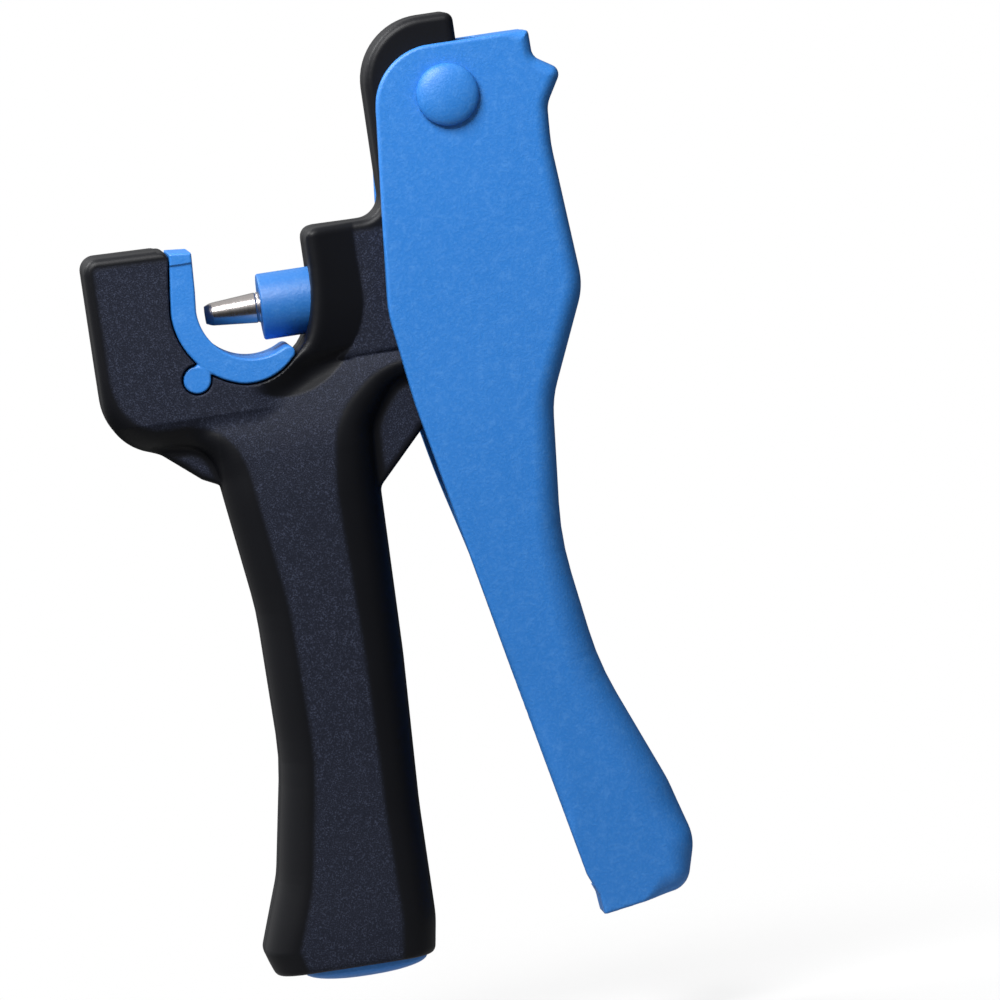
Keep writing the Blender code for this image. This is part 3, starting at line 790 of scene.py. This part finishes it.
def blend_colours(tree, share, first, second):
    mixer = add_node(tree, "ShaderNodeMix", {"data_type": "RGBA"}, _0=share, _6=first, _7=second)
    return mixer.outputs[2]


def bump(tree, height, depth):
    """Normals of a relief that is depth metres deep."""
    return add_node(tree, "ShaderNodeBump", Height=height, Distance=depth).outputs["Normal"]


# The plain skin's two tones are darker than the grained face: partly its smoother finish, partly painted
# shade on the rounded edges and the ramp that face away from the light.
BLACK_SHADED_SKIN = ((0.0026, 0.0030, 0.0046, 1), (0.0042, 0.0047, 0.0070, 1))
BLACK_FACE = (0.0080, 0.0105, 0.0215, 1)
# Pale specks of the grain, painted as glints of the light on the grained faces.
BLACK_GRAIN_GLINT = (0.055, 0.066, 0.110, 1)
BLUE_SHADES = ((0.020, 0.190, 0.61), (0.030, 0.215, 0.66), (0.12, 0.37, 0.82))


def black_plastic():
    """Glass-filled nylon: a fine grain whose pale specks are painted glints, and a plain skin where the mould
    was polished, painted darker partly as shade.
    """
    material, tree, shader = new_material("black_plastic")
    place = add_node(tree, "ShaderNodeTexCoord").outputs["Object"]
    polish_and_shade = add_node(tree, "ShaderNodeAttribute", {"attribute_name": "polish_and_shade"}).outputs["Fac"]
    textured = stretch(tree, polish_and_shade, 0.05, 0.95, 1.0, 0.0)
    fine = noise(tree, place, 0.00028, 2.0, 0.6)
    mottle = noise(tree, place, 0.0012, 3.0, 0.6)
    speckle = stretch(tree, fine, 0.45, 0.72, 0.0, 1.0)
    patchy = stretch(tree, mottle, 0.30, 0.65, 0.25, 0.8)
    dots = add_node(tree, "ShaderNodeMath", {"operation": "MULTIPLY"}, _0=speckle, _1=patchy).outputs[0]
    # The grain's pale specks are painted glints, kept off the plain skin.
    grain_glint = add_node(tree, "ShaderNodeMath", {"operation": "MULTIPLY"}, _0=dots, _1=textured).outputs[0]
    wear = noise(tree, place, 0.012, 4.0, 0.55)
    # The plain skin: its own darker finish, made darker still as painted shade.
    dark = blend_colours(tree, wear, *BLACK_SHADED_SKIN)
    face = blend_colours(tree, textured, dark, BLACK_FACE)
    tree.links.new(blend_colours(tree, grain_glint, face, BLACK_GRAIN_GLINT), shader.inputs["Base Color"])
    tree.links.new(stretch(tree, textured, 0.0, 1.0, 0.45, 0.60), shader.inputs["Roughness"])
    depth = stretch(tree, textured, 0.0, 1.0, 0.10, 1.0)
    relief = add_node(tree, "ShaderNodeMath", {"operation": "MULTIPLY"}, _0=fine, _1=depth).outputs[0]
    tree.links.new(bump(tree, relief, 0.00010), shader.inputs["Normal"])
    shader.inputs["Specular IOR Level"].default_value = 0.20
    return material


def blue_plastic(name, brightness):
    """Satin moulded plastic with a fine grain, slight colour variation and a few pale scuffs."""
    material, tree, shader = new_material(name)
    place = add_node(tree, "ShaderNodeTexCoord").outputs["Object"]
    cloud = noise(tree, place, 0.02, 3.0, 0.5)
    first, second, scuffed = [[channel * brightness for channel in shade] + [1] for shade in BLUE_SHADES]
    colour = blend_colours(tree, cloud, first, second)
    grain = noise(tree, place, 0.0005, 2.0, 0.6)
    mottle = noise(tree, place, 0.0022, 3.0, 0.6)
    speckle = stretch(tree, grain, 0.40, 0.75, 0.0, 0.20)
    scuff = stretch(tree, mottle, 0.52, 0.72, 0.0, 0.14)
    pale = add_node(tree, "ShaderNodeMath", {"operation": "ADD"}, _0=speckle, _1=scuff).outputs[0]
    tree.links.new(blend_colours(tree, pale, colour, scuffed), shader.inputs["Base Color"])
    tree.links.new(stretch(tree, mottle, 0.3, 0.7, 0.40, 0.50), shader.inputs["Roughness"])
    tree.links.new(bump(tree, grain, 0.00006), shader.inputs["Normal"])
    return material


def steel(name, colour, low, high):
    """Turned metal with fine marks round its axis, and a roughness between low and high."""
    material, tree, shader = new_material(name)
    place = add_node(tree, "ShaderNodeTexCoord").outputs["Object"]
    squeezed = add_node(tree, "ShaderNodeMapping", Vector=place, Scale=(1.0, 0.03, 0.03)).outputs[0]
    rings = noise(tree, squeezed, 0.0004, 2.0, 0.6)
    shader.inputs["Metallic"].default_value = 1.0
    shade = [channel * 0.92 for channel in colour]
    tree.links.new(blend_colours(tree, rings, (*shade, 1), (*colour, 1)), shader.inputs["Base Color"])
    tree.links.new(stretch(tree, rings, 0.3, 0.7, low, high), shader.inputs["Roughness"])
    tree.links.new(bump(tree, rings, 0.000006), shader.inputs["Normal"])
    return material


BLACK = black_plastic()
BLUE = blue_plastic("blue_plastic", 1.0)
# The plunger's blue is a darker copy of the same plastic: partly its own deeper tone, partly painted shade
# that holds down the rim light on its top.
PLUNGER_SHADED_BLUE = blue_plastic("deep_blue_shaded_plastic", 0.75)
POLISHED = steel("polished_steel", (0.44, 0.41, 0.40), 0.20, 0.27)
ZINC = steel("zinc_steel", (0.60, 0.61, 0.62), 0.30, 0.42)


# --- Pieces ---------------------------------------------------------------------------------------


ALONG_SLIDE = Matrix.Translation((0, 0, SLIDE_Z))


def along_y(x, z, direction=1):
    """Turns a lathed piece's own axis to y, through one point of the drawing."""
    return Matrix.Translation((x, 0, z)) @ Matrix.Rotation(direction * math.pi / 2, 4, "Z")


def make_shells():
    """The two halves, each netted in its own box on its side of the seam."""
    low_x, high_x, low_z, high_z = -77.4, 7.2, BUTT_Z - 0.2, 15.9
    thickest = 13.9
    halves = (("front_shell", front_field, -thickest, 0), ("rear_shell", rear_field, 0, thickest))
    for name, field, low_y, high_y in halves:
        low, high = (low_x, low_y, low_z), (high_x, high_y, high_z)
        mesh = field_mesh(name + "_skin", field, low, high, BODY_CELL, 0.45, shell_polish_and_shade)
        add_piece(name + "_skin", mesh, BLACK, "body", [name])


def make_lever():
    half = LEVER_OUTER_HALF + 0.1
    low, high = (-18.2, -half, -168.0), (27.4, half, 9.9)
    mesh = field_mesh("lever_skin", lever_field, low, high, LEVER_CELL, 0.5)
    add_piece("lever_skin", mesh, BLUE, "lever", ["lever"])


def make_cradle():
    half = CRADLE_HALF + 0.1
    low, high = (-61.2, -half, -52.4), (-36.0, half, -23.0)
    mesh = field_mesh("pipe_cradle_skin", cradle_field, low, high, CRADLE_CELL, 0.5)
    add_piece("pipe_cradle_skin", mesh, BLUE, "body", ["pipe_cradle"])


def turned(name, profile, softening, material):
    """Adds a piece of the slide from its profile of (along, radius) points."""
    mesh = finished(lathe(softened(profile, softening)), name + "_skin", ALONG_SLIDE)
    add_piece(name + "_skin", mesh, material, "plunger", [name])


def make_plunger_set():
    """The plunger, and what it carries: the hollow punch, the push rod and the button at its end."""
    front, back, radius = PLUNGER_FRONT, PLUNGER_BACK, PLUNGER_RADIUS
    socket = front + 9.5
    plunger = [(socket, 0), (socket, SOCKET_RADIUS), (front + 0.5, SOCKET_RADIUS), (front, 3.4)]
    plunger += [(front, radius), (back, radius), (back, 2.7)]
    plunger += [(back - PLUNGER_SPIGOT, 2.7), (back - PLUNGER_SPIGOT, 0)]
    turned("plunger", plunger, 0.5, PLUNGER_SHADED_BLUE)

    tip, hole, shank = PUNCH_TIP, PUNCH_HOLE_RADIUS, PUNCH_SHANK_RADIUS
    punch = [(tip + 5.5, 0), (tip + 4.5, hole), (tip + 0.15, hole), (tip, 1.4), (tip, PUNCH_EDGE_RADIUS)]
    punch += [(tip + 0.9, 2.15), (tip + 1.5, 2.3), (front - 0.9, PUNCH_BASE_RADIUS), (front - 0.6, 2.85)]
    punch += [(front - 0.35, 3.1), (front + 0.2, 3.1), (front + 0.2, shank), (socket - 0.3, shank)]
    punch += [(socket - 0.3, 0)]
    turned("punch", punch, 0.12, POLISHED)

    start, spigot = back - PLUNGER_SPIGOT + 0.3, ROD_SPIGOT_RADIUS
    rod = [(start, 0), (start, spigot), (back + 0.1, spigot), (back + 0.1, ROD_RADIUS)]
    rod += [(BUTTON_BACK - 0.1, ROD_RADIUS), (BUTTON_BACK - 0.1, spigot)]
    rod += [(BUTTON_BACK + 1.6, spigot), (BUTTON_BACK + 1.6, 0)]
    turned("push_rod", rod, 0.2, ZINC)

    button = [(BUTTON_BACK + 1.9, 0), (BUTTON_BACK + 1.9, 2.5), (BUTTON_BACK, 2.5)]
    button += [(BUTTON_BACK, BUTTON_RADIUS), (BUTTON_FACE - 1.1, BUTTON_RADIUS)]
    button += [(BUTTON_FACE, 4.6), (BUTTON_FACE, 0)]
    turned("thrust_button", button, 0.6, BLACK)


def make_spring():
    """A compression spring with closed, ground ends, coiled between the body's washer and the button."""
    front = BODY_BACK + 0.3
    washer = [(front, 4.3), (front, 6.3), (front + 0.8, 6.3), (front + 0.8, 4.3), (front, 4.3)]
    shape = lathe(washer)
    bmesh.ops.remove_doubles(shape, verts=shape.verts, dist=1e-4)
    mesh = finished(shape, "spring_washer_skin", ALONG_SLIDE)
    add_piece("spring_washer_skin", mesh, ZINC, "body", ["spring_washer"])

    wire, coil, turns = SPRING_WIRE_RADIUS, SPRING_COIL_RADIUS, SPRING_TURNS
    points_per_turn = 32
    start, end = front + 0.8 + wire, BUTTON_BACK - wire
    count = round(turns * points_per_turn)
    closed = 2 * wire * 1.02
    curve = bpy.data.curves.new("return_spring_path", "CURVE")
    curve.dimensions = "3D"
    curve.bevel_depth = wire
    curve.bevel_resolution = 4
    curve.use_fill_caps = True
    spline = curve.splines.new("POLY")
    spline.points.add(count)
    free = end - start - 2 * closed * 0.9
    for index, point in enumerate(spline.points):
        turn = index / points_per_turn
        middle = min(max((turn - 0.9) / (turns - 1.8), 0), 1)
        ends = min(turn, 0.9) + max(turn - (turns - 0.9), 0)
        angle = 2 * math.pi * turn
        along = start + closed * ends + free * middle
        point.co = (along, coil * math.cos(angle), SLIDE_Z + coil * math.sin(angle), 1)
    drawn = bpy.data.objects.new("return_spring_path", curve)
    bpy.context.scene.collection.objects.link(drawn)
    bpy.context.view_layer.update()
    mesh = bpy.data.meshes.new_from_object(drawn.evaluated_get(bpy.context.evaluated_depsgraph_get()))
    bpy.data.objects.remove(drawn)
    mesh.shade_smooth()
    spring = add_piece("return_spring_skin", mesh, POLISHED, None, ["return_spring"])
    ends = [DRAWING_ZERO + Vector((along, 0, SLIDE_Z)) * MM for along in (start + closed, end - closed)]
    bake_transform(spring)


def make_axle():
    """The axle, and a domed cap over each of its ends."""
    axle = [(-AXLE_HALF, 0), (-AXLE_HALF, AXLE_RADIUS), (AXLE_HALF, AXLE_RADIUS), (AXLE_HALF, 0)]
    mesh = finished(lathe(softened(axle, 0.3)), "pivot_axle_skin", along_y(0, AXLE_Z))
    add_piece("pivot_axle_skin", mesh, ZINC, "body", ["pivot_axle"])
    base, radius, side, rise = LEVER_OUTER_HALF + 0.1, PIVOT_CAP_RADIUS, PIVOT_CAP_SIDE, PIVOT_CAP_RISE
    dome = [(base + 0.6, 0), (base + 0.6, 3.3), (base, 3.3), (base, radius), (base + side, radius)]
    steps = 20
    for step in range(1, steps + 1):
        angle = math.pi / 2 * step / steps
        dome.append((base + side + rise * math.sin(angle), radius * math.cos(angle)))
    dome[-1] = (base + side + rise, 0)
    for name, direction in (("pivot_cap_rear", 1), ("pivot_cap_front", -1)):
        mesh = finished(lathe(dome), name + "_skin", along_y(0, AXLE_Z, direction), math.radians(50))
        add_piece(name + "_skin", mesh, BLUE, "body", [name])


def oval_ring(shape, height, half_x, half_y, sides=96):
    """A level ring of vertices round the end cap's squared-off oval."""
    ring = []
    for side in range(sides):
        angle = 2 * math.pi * side / sides
        across = math.copysign(abs(math.cos(angle)) ** (2 / OVAL_POWER), math.cos(angle))
        through = math.copysign(abs(math.sin(angle)) ** (2 / OVAL_POWER), math.sin(angle))
        ring.append(shape.verts.new((CAP_X + across * half_x, through * half_y, height)))
    return ring


def make_end_cap():
    """A domed cap with a rim that sits in the butt's recess and a plug that fills the handle's mouth."""
    rim_x, rim_y = CAP_RIM_HALF
    plug_x, plug_y = CAP_PLUG_HALF
    edge = BUTT_Z - 0.8
    profile = [(CAP_PLUG_TOP, plug_x - 1, plug_y - 1), (CAP_PLUG_TOP - 1.2, plug_x, plug_y)]
    profile += [(CAP_RIM_TOP, plug_x, plug_y), (CAP_RIM_TOP, 0.98 * rim_x, 0.98 * rim_y)]
    profile += [(CAP_RIM_TOP - 0.3, rim_x, rim_y), (edge, rim_x, rim_y)]
    steps = 24
    for step in range(1, steps):
        angle = math.pi / 2 * step / steps
        share = math.cos(angle)
        profile.append((edge - (edge - CAP_LOWEST) * math.sin(angle), share * rim_x, share * rim_y))
    shape = bmesh.new()
    rings = [oval_ring(shape, *row) for row in profile]
    for upper, lower in zip(rings, rings[1:]):
        for side in range(len(upper)):
            after = (side + 1) % len(upper)
            shape.faces.new((upper[side], upper[after], lower[after], lower[side]))
    shape.faces.new(rings[0])
    shape.faces.new(rings[-1])
    bmesh.ops.recalc_face_normals(shape, faces=shape.faces)
    mesh = finished(shape, "end_cap_skin", sharp=math.radians(40))
    add_piece("end_cap_skin", mesh, BLUE, "end_cap", ["end_cap"])


def screw_mesh():
    """A pan-head screw with a cross recess, its head towards +x."""
    top = SCREW_HEAD_TOP
    shank, head = SCREW_SHANK_RADIUS, SCREW_HEAD_RADIUS
    profile = [(-6.0, 0), (-4.8, shank), (top - 2.2, shank), (top - 2.2, head)]
    profile += [(top - 0.9, head), (top - 0.1, 1.9), (top, 0)]
    mesh = finished(lathe(softened(profile, 0.35), 48), "shell_screw_blank")
    blank = bpy.data.objects.new("shell_screw_blank", mesh)
    bpy.context.scene.collection.objects.link(blank)
    cutters = []
    for turn in (0, math.pi / 2):
        shape = bmesh.new()
        bmesh.ops.create_cube(shape, size=1.0)
        size = Matrix.Diagonal((1.3, 0.75, 3.4, 1))
        placing = Matrix.Translation((top, 0, 0)) @ Matrix.Rotation(turn, 4, "X") @ size
        cutter = bpy.data.objects.new("cross", finished(shape, "cross", placing))
        bpy.context.scene.collection.objects.link(cutter)
        modifier = blank.modifiers.new("cross", "BOOLEAN")
        modifier.operation = "DIFFERENCE"
        modifier.object = cutter
        cutters.append(cutter)
    bpy.context.view_layer.update()
    result = bpy.data.meshes.new_from_object(blank.evaluated_get(bpy.context.evaluated_depsgraph_get()))
    for used in (blank, *cutters):
        bpy.data.objects.remove(used)
    result.materials.clear()
    return result


def make_screws():
    blank = screw_mesh()
    for number, (x, z) in enumerate(SCREW_PLACES, 1):
        mesh = blank.copy()
        turn = Matrix.Rotation(math.radians(47 * number), 4, "X")
        mesh.transform(along_y(x, z) @ turn)
        name = f"shell_screw_{number}"
        add_piece(name + "_skin", mesh, ZINC, "body", [name])


# --- Stage ----------------------------------------------------------------------------------------


def area_light(name, place, size, power):
    """A round white light that faces the middle of the tool."""
    light = bpy.data.lights.new(name, "AREA")
    light.shape = "DISK"
    light.size = size
    light.energy = power
    item = bpy.data.objects.new(name, light)
    item.location = place
    item.rotation_euler = (Vector(LIGHTS_AIM) - Vector(place)).to_track_quat("-Z", "Y").to_euler()
    bpy.context.scene.collection.objects.link(item)


def make_floor():
    """A pale floor that fades out into white, low enough for the end cap to be pulled out above it."""
    shape = bmesh.new()
    bmesh.ops.create_circle(shape, cap_ends=True, segments=96, radius=FLOOR_RADIUS)
    mesh = bpy.data.meshes.new("floor")
    shape.to_mesh(mesh)
    shape.free()
    material, tree, shader = new_material("floor")
    shader.inputs["Base Color"].default_value = (0.55, 0.55, 0.55, 1)
    shader.inputs["Roughness"].default_value = 0.8
    shader.inputs["Emission Color"].default_value = (1, 1, 1, 1)
    shader.inputs["Emission Strength"].default_value = 0.4
    place = add_node(tree, "ShaderNodeTexCoord").outputs["Object"]
    radius = add_node(tree, "ShaderNodeVectorMath", {"operation": "LENGTH"}, _0=place).outputs["Value"]
    tree.links.new(stretch(tree, radius, 0.05, FLOOR_RADIUS, 0.35, 0.0), shader.inputs["Alpha"])
    mesh.materials.append(material)
    floor = bpy.data.objects.new("floor", mesh)
    floor.location.z = -FLOOR_DROP
    bpy.context.scene.collection.objects.link(floor)


def make_world():
    """White behind the object, brightest from above in its reflections, and a dim light from all round."""
    world = bpy.data.worlds.new("studio")
    world.use_nodes = True
    tree = world.node_tree
    path = add_node(tree, "ShaderNodeLightPath")
    direction = add_node(tree, "ShaderNodeTexCoord").outputs["Generated"]
    settings = {"operation": "DOT_PRODUCT"}
    height = add_node(tree, "ShaderNodeVectorMath", settings, _0=direction, _1=BRIGHT_SIDE).outputs["Value"]
    reflected = stretch(tree, height, -0.1, 0.8, *REFLECTED_STRENGTHS)
    lighting = stretch(tree, path.outputs["Is Glossy Ray"], 0.0, 1.0, AMBIENT_STRENGTH, reflected)
    strength = stretch(tree, path.outputs["Is Camera Ray"], 0.0, 1.0, lighting, 1.0)
    tree.links.new(strength, tree.nodes["Background"].inputs["Strength"])
    tree.nodes["Background"].inputs["Color"].default_value = (1, 1, 1, 1)
    bpy.context.scene.world = world


def make_camera():
    """The camera faces the front from slightly above and to the left, tilted so that the tool leans left."""
    data = bpy.data.cameras.new("camera")
    data.lens = PIXELS_PER_MM * VIEW_DISTANCE / PICTURE_PIXELS * data.sensor_width
    data.clip_start = 0.01
    camera = bpy.data.objects.new("camera", data)
    azimuth, elevation = math.radians(VIEW_AZIMUTH), math.radians(VIEW_ELEVATION)
    level_reach = math.cos(elevation)
    away = Vector((math.sin(azimuth) * level_reach, -math.cos(azimuth) * level_reach, math.sin(elevation)))
    camera.location = DRAWING_ZERO + (Vector(VIEW_TARGET) + away * VIEW_DISTANCE) * MM
    level = (-away).to_track_quat("-Z", "Y").to_matrix().to_4x4()
    camera.rotation_euler = (level @ Matrix.Rotation(math.radians(VIEW_ROLL), 4, "Z")).to_euler()
    bpy.context.scene.collection.objects.link(camera)
    bpy.context.scene.camera = camera


make_camera()
make_world()
make_floor()
area_light("key", (-0.16, -0.30, 0.50), 0.30, 3.9)
area_light("fill", (0.55, -0.60, 0.25), 0.50, 0.2)
area_light("rim", (-0.42, 0.22, 0.62), 0.40, 3.4)
bpy.context.scene.view_settings.view_transform = "Standard"
make_shells()
make_lever()
make_cradle()
make_plunger_set()
make_spring()
make_axle()
make_end_cap()
make_screws()
